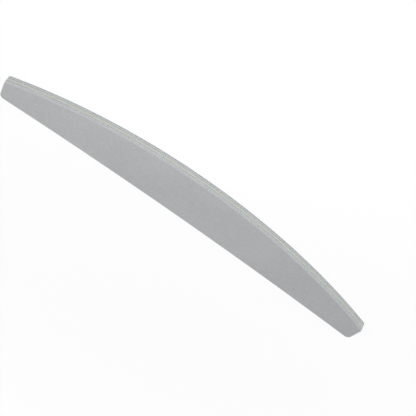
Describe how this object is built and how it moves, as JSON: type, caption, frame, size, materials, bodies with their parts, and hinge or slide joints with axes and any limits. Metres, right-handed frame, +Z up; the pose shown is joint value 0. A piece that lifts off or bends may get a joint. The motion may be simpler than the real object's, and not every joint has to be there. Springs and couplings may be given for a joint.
{
  "type": "emery board",
  "caption": "Half-moon emery board: a stiff core between foam pads, faced on both sides with pale grey abrasive paper and die-cut to one arc-sided outline.",
  "frame": {"origin": "middle of the bounding box, on the outer plane of the back abrasive face that the board lies on", "axes": "+X along the board's length, +Y from the hollow long side to the arc-shaped long side, +Z up through the sheets, out of the front abrasive face"},
  "size_m": [0.178, 0.028, 0.0041],
  "materials": {
    "grit_coat": "matte",
    "backing_paper": "matte",
    "adhesive_film": "satin",
    "foam": "matte",
    "core": "matte"
  },
  "bodies": {
    "root": {"back_grit_coat": "grit_coat", "back_backing_paper": "backing_paper", "back_paper_adhesive": "adhesive_film", "back_foam_pad": "foam", "back_core_adhesive": "adhesive_film", "core_board": "core", "front_core_adhesive": "adhesive_film", "front_foam_pad": "foam", "front_paper_adhesive": "adhesive_film", "front_backing_paper": "backing_paper", "front_grit_coat": "grit_coat"}
  },
  "joints": []
}
